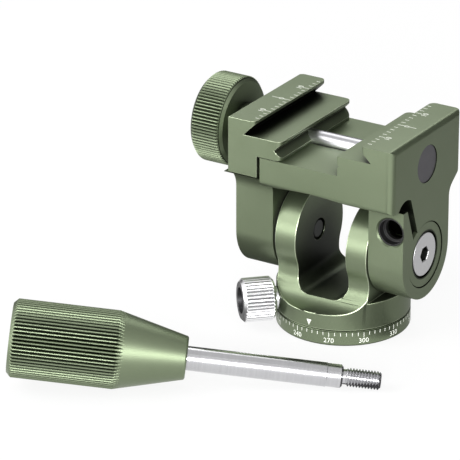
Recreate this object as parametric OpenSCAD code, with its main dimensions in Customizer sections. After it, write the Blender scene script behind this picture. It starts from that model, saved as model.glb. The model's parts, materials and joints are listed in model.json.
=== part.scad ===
// Two-way pan and tilt head with a double dovetail clamp and a loose locking handle.
// Millimetres. +Z up, +X to the fixed jaw, -Y to the front. The origin is the centre of the base's underside.

/* [Base] */
// Diameter of the base disc and of the fork's foot
base_d = 37; // [34:0.5:44]
// Height of the base disc, which carries the degree scale
base_h = 4.4; // [3.8:0.1:6]
// Diameter of the spigot that the fork turns on
spigot_d = 20; // [18:0.5:22]
// Height of the pan lock's axis above the base disc
lock_rise = 3.7; // [3.2:0.1:5]
// Depth of the V groove that the pan lock bears in
groove_depth = 1.3; // [0.9:0.1:1.6]
// Core diameter of the 3/8 inch tripod thread
tripod_thread_d = 8.1; // [7.8:0.1:8.4]
// Wall of the steel insert that holds the tripod thread
insert_wall = 1.9; // [1.4:0.1:2.4]

/* [Fork] */
// Clear width between the two ears
ear_gap = 15.7; // [13:0.1:18]
// Thickness of one ear
ear_t = 6.45; // [5:0.05:8]
// Radius of an ear's round head
head_r = 12.9; // [12.4:0.1:13.6]
// Height of the tilt axis above the floor between the ears
axis_rise = 13.6; // [13.2:0.1:16]
// Height of the foot's rim above the base disc at the front
rim_rise = 4.6; // [3.6:0.1:5]
// Thickness of the floor between the ears over the spigot
foot_roof = 1.4; // [1.1:0.1:2.4]
// Height of the shoulders beside the ears above the floor between them
shoulder_rise = 0.7; // [0.4:0.1:0.9]
// Radius of the corners between the floor and the ears
gap_round = 4; // [1.5:0.1:5]

/* [Tilt frame] */
// Length of the clamp along the plate
clamp_l = 38; // [34:0.5:44]
// Height of the platform's underside above the tilt axis
platform_rise = 17.6; // [17:0.1:20]
// Thickness of the platform under the rail channel
platform_t = 8.3; // [7.8:0.1:10]
// Depth of the rail channel
rail_depth = 5.6; // [5:0.1:6.5]
// Depth of the plate channel
plate_depth = 4.3; // [3.8:0.1:5]
// Radius of an arm's round lower end, and half its width
arm_r = 12.5; // [11.8:0.1:12.5]
// Thickness of the right arm, which is the split clamp
right_arm_t = 10.7; // [10:0.1:12]
// Thickness of the left arm
left_arm_t = 11.7; // [10.5:0.1:13]
// Diameter of the hub's barrel
barrel_d = 14; // [13:0.1:14.6]
// Width of the slot that splits the right arm
slot_w = 2.6; // [1.6:0.1:3]
// Rounding of the fixed jaw's upright corners at the right face
corner_round = 2.2; // [0.8:0.1:2.6]
// Rounding of the fixed jaw's top edge and of the platform's lower edges
edge_round = 1.6; // [0.6:0.1:2]

/* [Jaws] */
// Place of the fixed rail lip, right of the pan axis
rail_lip_x = 8.4; // [7.8:0.1:9.2]
// Overhang of the fixed plate lip over its V
plate_lip = 2.9; // [1.8:0.05:3.6]
// Place of the fixed plate V, right of the pan axis
plate_v_x = 18.8; // [17.6:0.05:19.6]
// Width of the plate channel between the two Vs, as the jaw stands
plate_gap = 39.5; // [38.9:0.1:41]
// Width of the rail channel between the lips, as the jaw stands
rail_gap = 17.5; // [16.4:0.1:18.4]
// Width of the jaw's leg
leg_w = 9.1; // [8:0.1:10]
// Gap between the jaw's leg and the platform
leg_gap = 1; // [1:0.05:1.6]
// Thickness of the jaw behind its upper V
jaw_back = 4.9; // [4:0.05:7]
// Overhang of the movable plate lip over its V
jaw_lip = 3.5; // [2.4:0.05:3.8]
// Rounding of the lips' ends, seen from above
lip_round = 1.7; // [0.6:0.1:2.2]
// Diameter of the clamp screw's plain shank
shank_d = 5; // [4.8:0.1:5.8]
// Diameter of the clamp screw's thread
clamp_thread_d = 4.8; // [4:0.1:4.8]

/* [Clamp knob] */
// Diameter of the clamp knob over its knurl
clamp_knob_d = 25.2; // [20:0.1:27]
// Length of the clamp knob
clamp_knob_l = 10; // [8:0.1:13]
// Distance from the jaw to the clamp knob's inner face
clamp_knob_off = 6.5; // [5:0.1:8]
// Count of the clamp knob's knurls
clamp_knurls = 84; // [60:1:96]

/* [Pan lock] */
// Diameter of the pan knob over its knurl
pan_knob_d = 12.2; // [10:0.1:13]
// Length of the pan knob's body
pan_knob_l = 9.2; // [7:0.1:12]
// Gap between the foot and the pan knob's body
pan_knob_off = 1.3; // [1:0.1:2]
// Diameter of the pan lock's screw
pan_screw_d = 4; // [3:0.1:4]
// Direction of the pan lock seen from above
pan_lock_angle = 224; // [222:1:228]
// Count of the pan knob's knurls
pan_knurls = 36; // [24:1:48]

/* [Handle] */
// Diameter of the grip over its knurl
grip_d = 21; // [18:0.5:24]
// Length of the grip's knurled part
grip_knurl_l = 28.5; // [24:0.5:34]
// Length of the grip's cone
grip_cone_l = 18.5; // [14:0.5:22]
// Diameter of the grip's thin end
grip_neck_d = 11.5; // [10:0.1:13]
// Diameter of the rod
rod_d = 6.5; // [5.6:0.1:7]
// Length of the rod outside the grip
rod_l = 41.5; // [34:0.5:50]
// Diameter of the stud's thread
stud_d = 5; // [4:0.1:5]
// Length of the stud's thread
stud_l = 8; // [7:0.1:9]
// Length of the plain neck before the thread
stud_neck_l = 2.2; // [1.6:0.1:2.6]
// Count of the grip's knurls
grip_knurls = 64; // [48:1:80]
// Direction that the loose handle points, seen from above
handle_yaw = 30; // [28:1:34]
// Place of the loose handle's grip end, from the pan axis to the left
handle_left = 53.7; // [48:0.1:60]
// Place of the loose handle's grip end, from the pan axis to the front
handle_front = 82.7; // [82:0.1:100]

/* [Hidden] */
$fn = 96;

// Clearances, and one overrun for every cut
seam_gap = 0.2;
running_gap = 0.05;
free_gap = 0.3;
over = 1;
edge_break = 0.3;
knurl_land_share = 0.25;

// Colours
green = [0.40, 0.47, 0.34];
silver = [0.82, 0.82, 0.83];
steel = [0.62, 0.63, 0.65];
black = [0.10, 0.10, 0.11];
charcoal = [0.27, 0.27, 0.30];
brass_colour = [0.78, 0.64, 0.33];

// Base, from its underside up
base_r = base_d / 2;
spigot_r = spigot_d / 2;
lock_z = base_h + lock_rise;
spigot_rim = 0.4;
spigot_top = lock_z + groove_depth + spigot_rim;
insert_r = tripod_thread_d / 2 + insert_wall;
socket_roof = 1.5;
socket_top = spigot_top - socket_roof;
pan_washer_t = 0.8;
pan_washer_inner_share = 0.62;
pan_washer_outer_share = 0.86;
pan_washer_ri = base_r * pan_washer_inner_share;
pan_washer_ro = base_r * pan_washer_outer_share;

// Fork
foot_z = base_h + seam_gap;
foot_bore_top = spigot_top + seam_gap;
floor_z = foot_bore_top + foot_roof;
shoulder_z = floor_z + shoulder_rise;
axis_z = floor_z + axis_rise;
ear_in = ear_gap / 2;
ear_out = ear_in + ear_t;
rim_z = base_h + rim_rise;
// The scoop is an arc that leaves the rim level and runs on from the head's circle without a corner
rim_drop = axis_z - rim_z;
scoop_r = (base_r * base_r + rim_drop * rim_drop - head_r * head_r) / (2 * (rim_drop + head_r));
scoop_z = rim_z + scoop_r;
tangent_share = head_r / (head_r + scoop_r);
tangent_y = base_r * tangent_share;
tangent_z = axis_z + (scoop_z - axis_z) * tangent_share;

// Pan lock and retaining screws, along their own axes from the pan axis outward
tip_gap = 0.15;
tip_start = spigot_r - groove_depth + tip_gap;
pan_screw_r = pan_screw_d / 2;
pad_l = 3.2;
pad_end = tip_start + pan_screw_r + pad_l;
pan_knob_r = pan_knob_d / 2;
pan_knob_in = base_r + pan_knob_off;
pan_knob_out = pan_knob_in + pan_knob_l;
pan_knurl_depth = 0.35;
pan_knob_chamfer = 0.9;
pan_neck_r_share = 0.52;
pan_neck_r = pan_knob_r * pan_neck_r_share;
pan_recess_r_share = 0.6;
pan_recess_r = pan_knob_r * pan_recess_r_share;
pan_recess_depth_share = 0.35;
pan_recess_depth = pan_knob_l * pan_recess_depth_share;
retaining_angles = [45, 135];
retaining_sink = 0.5;
retaining_hex_share = 0.5;
retaining_hex_depth = 1.6;

// Tilt hubs and screws, along X from the pan axis
right_washer_t = 0.4;
left_washer_t = 0.9;
right_in = ear_out + right_washer_t;
right_out = right_in + right_arm_t;
left_in = ear_out + left_washer_t;
left_out = left_in + left_arm_t;
barrel_r = barrel_d / 2;
hub_bore_r = barrel_r + running_gap;
flange_r = 9.1;
flange_t = 1.15;
flange_sink = 0.2;
flange_gap = 0.25;
flange_well_r = flange_r + flange_gap;
flange_well_depth = flange_sink + flange_t + running_gap;
screw_r = 3;
screw_head_r = 6.05;
screw_head_sink = 0.1;
screw_land = 0.25;
screw_cone_l = screw_head_r - screw_r;
screw_end_sink = 0.3;
screw_end_chamfer = 0.6;
screw_well_gap = 0.55;
screw_well_depth = 0.9;
screw_well_r = screw_head_r + screw_well_gap;
screw_seat_r = screw_head_r - screw_well_depth + screw_head_sink + screw_land;
hex_key = 4;
hex_depth = 2.4;
hex_corner_r = hex_key / 2 / cos(30);
thrust_washer_r_share = 0.92;
thrust_washer_r = head_r * thrust_washer_r_share;
bush_wall = 1.15;

// Clamp heights
platform_z = axis_z + platform_rise;
rail_floor_z = platform_z + platform_t;
plate_floor_z = rail_floor_z + rail_depth;
clamp_top_z = plate_floor_z + plate_depth;
half_l = clamp_l / 2;
shelf_t = 2;
shelf_z = platform_z + shelf_t;
arch_w = 24;
arch_h = 1.1;
arch_r = (arch_w * arch_w / 4 + arch_h * arch_h) / (2 * arch_h);
arch_facets = 360;
inner_fillet = 1.5;
lip_front_round = 0.8;

// S curve at the back of the right arm: an arc, a slope and an arc back to upright
sweep_r = 4.3;
sweep_round = 2;
sweep_angle = 54;
sweep_steps = 12;
sweep_in = sweep_r * (1 - cos(sweep_angle));
sweep_z = shelf_z - sweep_r * sin(sweep_angle) - (half_l - arm_r - sweep_in) / tan(sweep_angle);
sweep_end_z = shelf_z + sweep_round * tan(sweep_angle / 2);

// Split clamp in the right arm
handle_rise = 10;
handle_z = axis_z + handle_rise;
handle_in = 4;
handle_x = right_out - handle_in;
slot_angle = 20;
slot_y = -6.7;
slot_down = 6.6;
slot_up = 9.2;
notch_r = 4.7;
notch_y = -11.3;
notch_rise = 15;
lug_rise = 16.2;
notch_z = axis_z + notch_rise;
lug_top_z = axis_z + lug_rise;
seat_r = 3.95;
seat_wall = 0.45;
seat_rim = 0.4;
seat_depth = 2.5;
seat_t = 1.3;
stud_hole_r = stud_d / 2 + free_gap;
stud_core_share = 0.84;
stud_core_r = stud_d / 2 * stud_core_share;
stud_tap_end = 4;

// Jaws, along X
plate_lip_x = plate_v_x - plate_lip;
fixed_rail_v = 0.7;
jaw_v_x = plate_v_x - plate_gap;
jaw_tip_x = jaw_v_x + jaw_lip;
jaw_left = jaw_v_x - jaw_back;
leg_right = jaw_left + leg_w;
platform_left = leg_right + leg_gap;
jaw_rail_x = rail_lip_x - rail_gap;
jaw_rail_v = 2;
jaw_lift = 0.15;
leg_lift = 0.3;
screw_rise = 0.5;
screw_z = rail_floor_z + screw_rise;

// Clamp screw, nut, stop ring and plug
shank_r = shank_d / 2;
clamp_thread_r = clamp_thread_d / 2;
shank_reach = 1.1;
shank_room = 3;
shank_end = rail_lip_x + shank_reach;
shank_bore_end = shank_end + shank_room;
nut_l = 4;
nut_end = shank_bore_end + nut_l;
jaw_open_travel = 5;
jaw_close_travel = 0.9;
stop_ring_t = 0.8;
stop_ring_in = nut_end + jaw_open_travel + running_gap;
clamp_screw_end = stop_ring_in + stop_ring_t;
nut_r = 4.4;
stop_ring_r = nut_r - free_gap;
plug_r = 5.3;
plug_sink = 0.25;
plug_in = clamp_screw_end + jaw_close_travel + running_gap;

// Guide pins and jaw springs
pin_r = 1.5;
pin_y_share = 0.66;
pin_y = half_l * pin_y_share;
pin_z_share = 0.62;
pin_z = platform_z + pin_z_share * platform_t;
pin_inset = 1.5;
pin_reach = 9.4;
pin_start = jaw_left + pin_inset;
pin_end = leg_right + pin_reach;
pin_bore_end = pin_end + jaw_close_travel + over;
spring_ri = pin_r + free_gap;
spring_wall = 0.9;
spring_ro = spring_ri + spring_wall;
spring_well_r = spring_ro + seam_gap;
spring_l = 7.4;

// Clamp knob
clamp_knob_r = clamp_knob_d / 2;
knob_in = jaw_left - clamp_knob_off;
knob_out = knob_in - clamp_knob_l;
clamp_knurl_depth = 0.45;
knob_outer_chamfer = 1;
knob_inner_chamfer = 1.3;
knob_boss_r = 5.5;
knob_washer_t = 0.7;
knob_boss_end = jaw_left - knob_washer_t - running_gap;
knob_cap_t = 2;
knob_screw_start = knob_out + knob_cap_t;
grub_r = 1.5;
grub_x = (knob_in + knob_boss_end) / 2;

// Handle, along its own length from the grip's end
grip_r = grip_d / 2;
grip_knurl_depth = 0.4;
grip_chamfer = 1.2;
grip_l = grip_knurl_l + grip_cone_l;
rod_r = rod_d / 2;
rod_inside = 18;
rod_end = grip_l + rod_l;
collar_l = 4.2;
collar_step = 0.12;
rod_chamfer = 0.5;
thread_start = rod_end + stud_neck_l;
thread_crests = 9;
thread_pitch = stud_l / (thread_crests + 1);
handle_l = thread_start + stud_l;
stud_r = stud_d / 2;
last_crest = thread_start + (thread_crests - 0.5) * thread_pitch;
grip_rim = grip_knurl_l - edge_break;
handle_droop = atan((grip_r - stud_r) / (last_crest - grip_rim));
handle_lift = grip_r * cos(handle_droop) + grip_rim * sin(handle_droop);

// Extrusion along Y, centred: the outline's x is X and its y is Z
module along_y(length) {
    rotate([90, 0, 0])
        translate([0, 0, -length / 2])
            linear_extrude(length)
                children();
}

// Extrusion along X from x0 to x1: the outline's x is Y and its y is Z
module along_x(x0, x1) {
    translate([x0, 0, 0])
        rotate([90, 0, 90])
            linear_extrude(x1 - x0)
                children();
}

// Cylinder along X from x0 to x1
module x_rod(r, x0, x1, y, z) {
    translate([x0, y, z])
        rotate([0, 90, 0])
            cylinder(r = r, h = x1 - x0);
}

// Ring along X from x0 to x1
module x_ring(ro, ri, x0, x1, y, z) {
    difference() {
        x_rod(ro, x0, x1, y, z);
        x_rod(ri, x0 - over, x1 + over, y, z);
    }
}

// What a rounded corner loses: the corner points to +x +y, and the origin is the arc's centre
module corner_cut(r) {
    difference() {
        square([r + over, r + over]);
        circle(r);
    }
}

// Places a child, drawn along +Z, level at the pan lock's height and pointing outward
module radial(angle) {
    translate([0, 0, lock_z])
        rotate([0, 90, angle])
            children();
}

// Bar with a straight knurl along +Z and a chamfer at each end; the ridges have narrow lands
module knurled_bar(r, depth, count, length, start_chamfer, end_chamfer) {
    tip_r = r + knurl_land_share * depth;
    intersection() {
        rotate_extrude()
            polygon([
                [0, 0],
                [r - start_chamfer, 0],
                [r, start_chamfer],
                [r, length - end_chamfer],
                [r - end_chamfer, length],
                [0, length]
            ]);
        translate([0, 0, -over])
            linear_extrude(length + 2 * over)
                polygon([
                    for (i = [0 : 2 * count - 1])
                        let (a = 180 * i / count, q = i % 2 == 0 ? tip_r : r - depth)
                            [q * cos(a), q * sin(a)]
                ]);
    }
}

// Base

module base_disc() {
    color(green)
        rotate_extrude()
            polygon([
                [insert_r, 0],
                [base_r - edge_break, 0],
                [base_r, edge_break],
                [base_r, base_h - edge_break],
                [base_r - edge_break, base_h],
                [pan_washer_ro, base_h],
                [pan_washer_ro, base_h - pan_washer_t],
                [pan_washer_ri, base_h - pan_washer_t],
                [pan_washer_ri, base_h],
                [spigot_r, base_h],
                [spigot_r, lock_z - groove_depth],
                [spigot_r - groove_depth, lock_z],
                [spigot_r, lock_z + groove_depth],
                [spigot_r, spigot_top],
                [0, spigot_top],
                [0, socket_top],
                [insert_r, socket_top]
            ]);
}

module socket_insert() {
    color(steel)
        difference() {
            cylinder(r = insert_r, h = socket_top);
            translate([0, 0, -over])
                cylinder(d = tripod_thread_d, h = socket_top + 2 * over);
        }
}

module pan_washer() {
    color(black)
        translate([0, 0, base_h - pan_washer_t])
            difference() {
                cylinder(r = pan_washer_ro - running_gap, h = pan_washer_t + seam_gap - running_gap);
                translate([0, 0, -over])
                    cylinder(r = pan_washer_ri + running_gap, h = pan_washer_t + 2 * over);
            }
}

// Fork

// Side view of the fork: round heads, waist and scooped foot
module fork_side() {
    translate([0, axis_z])
        circle(head_r);
    difference() {
        polygon([
            [-base_r, foot_z],
            [base_r, foot_z],
            [base_r, scoop_z],
            [tangent_y, tangent_z],
            [0, axis_z],
            [-tangent_y, tangent_z],
            [-base_r, scoop_z]
        ]);
        for (side = [-1, 1])
            translate([side * base_r, scoop_z])
                circle(scoop_r);
    }
}

// Front view of the gap between the ears, with rounded lower corners
module gap_front() {
    top = axis_z + head_r + over;
    translate([-ear_in, floor_z + gap_round])
        square([ear_gap, top - floor_z - gap_round]);
    translate([gap_round - ear_in, floor_z])
        square([ear_gap - 2 * gap_round, top - floor_z]);
    for (side = [-1, 1])
        translate([side * (ear_in - gap_round), floor_z + gap_round])
            circle(gap_round);
}

module fork() {
    color(green)
        difference() {
            intersection() {
                along_x(-base_r, base_r)
                    fork_side();
                union() {
                    cylinder(r = base_r, h = shoulder_z);
                    intersection() {
                        cylinder(r = base_r, h = scoop_z);
                        translate([-ear_out, -base_r, 0])
                            cube([2 * ear_out, base_d, scoop_z]);
                    }
                    translate([-ear_out, -base_r, scoop_z])
                        cube([2 * ear_out, base_d, axis_z + head_r - scoop_z]);
                }
            }
            along_y(base_d + 2 * over)
                gap_front();
            translate([0, 0, foot_z - over])
                cylinder(r = spigot_r + running_gap, h = foot_bore_top - foot_z + over);
            for (angle = concat(retaining_angles, [pan_lock_angle]))
                radial(angle)
                    translate([0, 0, spigot_r - over])
                        cylinder(r = pan_screw_r + running_gap, h = base_r - spigot_r + 2 * over);
            x_rod(screw_r + running_gap, -ear_out - over, ear_out + over, 0, axis_z);
        }
}

module retaining_screws() {
    screw_end = base_r - retaining_sink;
    color(steel)
        for (angle = retaining_angles)
            radial(angle)
                difference() {
                    union() {
                        translate([0, 0, tip_start])
                            cylinder(r1 = 0, r2 = pan_screw_r, h = pan_screw_r);
                        translate([0, 0, tip_start + pan_screw_r])
                            cylinder(r = pan_screw_r, h = screw_end - tip_start - pan_screw_r);
                    }
                    translate([0, 0, screw_end - retaining_hex_depth])
                        cylinder(r = pan_screw_r * retaining_hex_share, h = retaining_hex_depth + over, $fn = 6);
                }
}

// Pan lock

module pan_lock_pad() {
    color(brass_colour)
        radial(pan_lock_angle) {
            translate([0, 0, tip_start])
                cylinder(r1 = 0, r2 = pan_screw_r, h = pan_screw_r);
            translate([0, 0, tip_start + pan_screw_r])
                cylinder(r = pan_screw_r, h = pad_l);
        }
}

module pan_lock_screw() {
    color(steel)
        radial(pan_lock_angle)
            translate([0, 0, pad_end + running_gap])
                cylinder(r = pan_screw_r, h = pan_knob_out - pan_recess_depth - pad_end - running_gap);
}

module pan_lock_knob() {
    neck_in = pan_knob_in - pan_knob_off + free_gap;
    color(silver)
        radial(pan_lock_angle)
            difference() {
                union() {
                    translate([0, 0, pan_knob_in])
                        knurled_bar(pan_knob_r, pan_knurl_depth, pan_knurls, pan_knob_l,
                            pan_knob_chamfer, pan_knob_chamfer);
                    translate([0, 0, neck_in])
                        cylinder(r = pan_neck_r, h = pan_knob_l / 2);
                }
                translate([0, 0, neck_in - over])
                    cylinder(r = pan_screw_r, h = pan_knob_l + pan_knob_off + 2 * over);
                translate([0, 0, pan_knob_out - pan_recess_depth])
                    cylinder(r = pan_recess_r, h = pan_recess_depth + over);
            }
}

// Tilt hubs

// Flanged hub along +X, from the ear's face to the arm's outer face
module tilt_hub(arm_out) {
    face = arm_out - flange_sink;
    head_x = face - screw_head_sink;
    translate([0, 0, axis_z])
        rotate([0, 90, 0])
            rotate_extrude()
                polygon([
                    [screw_r, ear_out],
                    [barrel_r, ear_out],
                    [barrel_r, face - flange_t],
                    [flange_r, face - flange_t],
                    [flange_r, face],
                    [screw_well_r, face],
                    [screw_well_r, face - screw_well_depth],
                    [screw_seat_r, face - screw_well_depth],
                    [screw_r, head_x - screw_land - screw_cone_l]
                ]);
}

// Countersunk screw along +X, from the gap between the ears to the hub's face
module tilt_screw(arm_out) {
    head_x = arm_out - flange_sink - screw_head_sink;
    translate([0, 0, axis_z])
        rotate([0, 90, 0])
            difference() {
                rotate_extrude()
                    polygon([
                        [0, ear_in + screw_end_sink],
                        [screw_r - screw_end_chamfer, ear_in + screw_end_sink],
                        [screw_r, ear_in + screw_end_sink + screw_end_chamfer],
                        [screw_r, head_x - screw_land - screw_cone_l],
                        [screw_head_r, head_x - screw_land],
                        [screw_head_r, head_x],
                        [0, head_x]
                    ]);
                translate([0, 0, head_x - hex_depth])
                    rotate([0, 0, 30])
                        cylinder(r = hex_corner_r, h = hex_depth + over, $fn = 6);
            }
}

module tilt_hub_left() {
    color(green)
        mirror([1, 0, 0])
            tilt_hub(left_out);
}

module tilt_hub_right() {
    color(green)
        tilt_hub(right_out);
}

module tilt_screw_left() {
    color(silver)
        mirror([1, 0, 0])
            tilt_screw(left_out);
}

module tilt_screw_right() {
    color(silver)
        tilt_screw(right_out);
}

module thrust_washer_left() {
    color(black)
        x_ring(thrust_washer_r, hub_bore_r, -left_in + running_gap, -ear_out, 0, axis_z);
}

module thrust_washer_right() {
    color(black)
        x_ring(thrust_washer_r, hub_bore_r, ear_out, right_in - running_gap, 0, axis_z);
}

// Tilt frame

// Front view of the platform and the fixed jaw, with the arch underneath
module platform_front() {
    rail_mid_z = rail_floor_z + rail_depth / 2;
    difference() {
        polygon([
            [platform_left, platform_z],
            [right_out, platform_z],
            [right_out, clamp_top_z],
            [plate_lip_x, clamp_top_z],
            [plate_lip_x, plate_floor_z + plate_lip],
            [plate_v_x, plate_floor_z],
            [rail_lip_x, plate_floor_z],
            [rail_lip_x, rail_mid_z + fixed_rail_v],
            [rail_lip_x + fixed_rail_v, rail_mid_z],
            [rail_lip_x, rail_mid_z - fixed_rail_v],
            [rail_lip_x, rail_floor_z],
            [platform_left, rail_floor_z]
        ]);
        translate([right_out - edge_round, clamp_top_z - edge_round])
            corner_cut(edge_round);
        translate([0, platform_z + arch_h - arch_r])
            circle(arch_r, $fn = arch_facets);
    }
}

// Side view of what lies behind and below the S curve
module below_sweep() {
    polygon(concat(
        [
            [half_l + over, sweep_end_z],
            [half_l + over, sweep_z - over],
            [arm_r, sweep_z - over]
        ],
        [
            for (i = [0 : sweep_steps])
                let (t = sweep_angle * i / sweep_steps)
                    [arm_r + sweep_r * (1 - cos(t)), sweep_z + sweep_r * sin(t)]
        ],
        [
            for (i = [0 : sweep_steps])
                let (t = sweep_angle * (i / sweep_steps - 1))
                    [half_l - sweep_round * (1 - cos(t)), sweep_end_z + sweep_round * sin(t)]
        ]
    ));
}

// Side view of the platform: a rounded lower front edge, and the S curve at the back
module platform_side() {
    difference() {
        translate([-half_l, platform_z])
            square([clamp_l, clamp_top_z - platform_z]);
        translate([edge_round - half_l, platform_z + edge_round])
            mirror([1, 0])
                mirror([0, 1])
                    corner_cut(edge_round);
        below_sweep();
    }
}

// Plan view of a block from x0 to x1 over the clamp's length, with a radius for each corner
module plan_block(x0, x1, left_front, left_back, right_front, right_back) {
    difference() {
        translate([x0, -half_l])
            square([x1 - x0, clamp_l]);
        translate([x1 - right_back, half_l - right_back])
            corner_cut(right_back);
        translate([x1 - right_front, right_front - half_l])
            mirror([0, 1])
                corner_cut(right_front);
        translate([x0 + left_back, half_l - left_back])
            mirror([1, 0])
                corner_cut(left_back);
        translate([x0 + left_front, left_front - half_l])
            mirror([1, 0])
                mirror([0, 1])
                    corner_cut(left_front);
    }
}

// What the frame's upright corners leave: the fixed jaw's lips have their own at each level
module frame_corners() {
    linear_extrude(rail_floor_z)
        plan_block(-left_out, right_out, edge_break, edge_break, corner_round, corner_round);
    translate([0, 0, rail_floor_z])
        linear_extrude(rail_depth)
            plan_block(rail_lip_x, right_out, edge_break, lip_round, corner_round, corner_round);
    translate([0, 0, plate_floor_z])
        linear_extrude(plate_depth)
            plan_block(plate_lip_x, right_out, lip_front_round, lip_round, corner_round, corner_round);
}

// Side view of an arm below the clamp
module arm_side(top_z) {
    translate([0, axis_z])
        circle(arm_r);
    translate([-arm_r, axis_z])
        square([2 * arm_r, top_z - axis_z]);
}

// Scoop that carries the left arm's front and back edges out to a thin shelf
module shelf_scoops() {
    scoop = half_l - arm_r;
    for (side = [0, 1])
        mirror([side, 0])
            difference() {
                translate([arm_r, shelf_z - scoop])
                    square([scoop, scoop]);
                translate([half_l, shelf_z - scoop])
                    circle(scoop);
            }
}

// Rounded inner corners between the arms and the platform
module inner_fillets() {
    for (x = [-left_in, right_in])
        difference() {
            translate([x < 0 ? x : x - inner_fillet, platform_z - inner_fillet])
                square([inner_fillet, inner_fillet]);
            translate([x < 0 ? x + inner_fillet : x - inner_fillet, platform_z - inner_fillet])
                circle(inner_fillet);
        }
}

// Side view of the slot and the relief notch that split the right arm
module split_side() {
    reach = 2 * half_l;
    translate([slot_y, handle_z])
        rotate(slot_angle)
            translate([-slot_w / 2, -slot_down])
                square([slot_w, slot_down + slot_up]);
    intersection() {
        translate([notch_y, notch_z])
            circle(notch_r);
        translate([-reach, lug_top_z])
            square([reach, notch_r]);
        translate([slot_y, handle_z])
            rotate(slot_angle)
                translate([slot_w / 2 - reach, -reach / 2])
                    square([reach, reach]);
    }
}

module tilt_frame() {
    color(green)
        difference() {
            intersection() {
                union() {
                    intersection() {
                        along_y(clamp_l)
                            platform_front();
                        along_x(-left_out, right_out)
                            platform_side();
                    }
                    along_x(right_in, right_out) {
                        arm_side(rail_floor_z);
                        difference() {
                            translate([0, sweep_z])
                                square([half_l, rail_floor_z - sweep_z]);
                            below_sweep();
                        }
                    }
                    along_x(-left_out, -left_in) {
                        arm_side(shelf_z);
                        shelf_scoops();
                    }
                    along_x(-left_in - over, platform_left + over)
                        translate([-arm_r, platform_z])
                            square([2 * arm_r, shelf_z - platform_z]);
                    along_y(2 * arm_r)
                        inner_fillets();
                }
                frame_corners();
            }
            // Hub bores, flange wells and the split
            x_rod(hub_bore_r, right_in - over, right_out + over, 0, axis_z);
            x_rod(flange_well_r, right_out - flange_well_depth, right_out + over, 0, axis_z);
            x_rod(hub_bore_r + bush_wall, -left_out - over, -left_in + over, 0, axis_z);
            x_rod(flange_well_r, -left_out - over, flange_well_depth - left_out, 0, axis_z);
            along_x(right_in - inner_fillet - over, right_out + over)
                split_side();
            // Handle seat, its clearance hole and the tapped hole beyond the slot
            translate([handle_x, -arm_r + seat_depth + seat_t, handle_z])
                rotate([90, 0, 0])
                    cylinder(r = seat_r, h = seat_depth + seat_t + over);
            translate([handle_x, seat_rim - arm_r, handle_z])
                rotate([90, 0, 0])
                    cylinder(r1 = seat_r, r2 = seat_r + seat_rim + over, h = seat_rim + over);
            translate([handle_x, slot_y, handle_z])
                rotate([90, 0, 0])
                    cylinder(r = stud_hole_r, h = arm_r);
            translate([handle_x, stud_tap_end, handle_z])
                rotate([90, 0, 0])
                    cylinder(r = stud_core_r, h = stud_tap_end - slot_y);
            // Clamp screw's groove and bore, and the pocket of its nut, stop ring and plug
            x_rod(shank_r + free_gap, platform_left - over, shank_bore_end, 0, screw_z);
            x_rod(nut_r, shank_bore_end, right_out + over, 0, screw_z);
            x_rod(plug_r, plug_in, right_out + over, 0, screw_z);
            // Guide pin bores and spring wells
            for (side = [-1, 1]) {
                x_rod(pin_r + running_gap, platform_left - over, pin_bore_end, side * pin_y, pin_z);
                x_rod(spring_well_r, platform_left - over, platform_left + spring_l, side * pin_y, pin_z);
            }
        }
}

module arm_bush() {
    color(brass_colour)
        x_ring(hub_bore_r + bush_wall, hub_bore_r, flange_well_depth - left_out, -left_in, 0, axis_z);
}

module handle_seat() {
    color(black)
        translate([handle_x, -arm_r + seat_depth + seat_t, handle_z])
            rotate([90, 0, 0])
                difference() {
                    cylinder(r = seat_r, h = seat_depth + seat_t - seat_rim);
                    translate([0, 0, seat_t])
                        cylinder(r = seat_r - seat_wall, h = seat_depth);
                    translate([0, 0, -over])
                        cylinder(r = stud_hole_r, h = seat_t + 2 * over);
                }
}

module clamp_nut() {
    color(steel)
        x_ring(nut_r, clamp_thread_r + running_gap, shank_bore_end, nut_end, 0, screw_z);
}

module screw_plug() {
    color(charcoal)
        x_rod(plug_r, plug_in, right_out - plug_sink, 0, screw_z);
}

module jaw_springs() {
    color(steel)
        for (side = [-1, 1])
            x_ring(spring_ro, spring_ri, platform_left, platform_left + spring_l, side * pin_y, pin_z);
}

// Movable jaw

module jaw_front() {
    tongue_z = rail_floor_z + jaw_lift;
    v_z = (tongue_z + plate_floor_z) / 2;
    polygon([
        [jaw_left, shelf_z + leg_lift],
        [leg_right, shelf_z + leg_lift],
        [leg_right, tongue_z],
        [jaw_rail_x, tongue_z],
        [jaw_rail_x, v_z - jaw_rail_v],
        [jaw_rail_x - jaw_rail_v, v_z],
        [jaw_rail_x, v_z + jaw_rail_v],
        [jaw_rail_x, plate_floor_z],
        [jaw_v_x, plate_floor_z],
        [jaw_tip_x, plate_floor_z + jaw_lip],
        [jaw_tip_x, clamp_top_z],
        [jaw_left + edge_break, clamp_top_z],
        [jaw_left, clamp_top_z - edge_break]
    ]);
}

module movable_jaw() {
    color(green)
        difference() {
            intersection() {
                along_y(clamp_l)
                    jaw_front();
                union() {
                    translate([0, 0, platform_z])
                        linear_extrude(plate_floor_z - platform_z)
                            plan_block(jaw_left, jaw_rail_x, edge_break, lip_round, lip_round, lip_round);
                    translate([0, 0, plate_floor_z])
                        linear_extrude(plate_depth)
                            plan_block(jaw_left, jaw_tip_x, edge_break, lip_round, lip_round, lip_round);
                }
            }
            x_rod(shank_r + running_gap, jaw_left - over, jaw_rail_x + over, 0, screw_z);
            for (side = [-1, 1])
                x_rod(pin_r, pin_start, leg_right + over, side * pin_y, pin_z);
        }
}

module guide_pins() {
    color(steel)
        for (side = [-1, 1])
            x_rod(pin_r, pin_start, pin_end, side * pin_y, pin_z);
}

module knob_washer() {
    color(steel)
        x_ring(knob_boss_r, shank_r + running_gap, jaw_left - knob_washer_t, jaw_left, 0, screw_z);
}

// Clamp knob and screw

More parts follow.
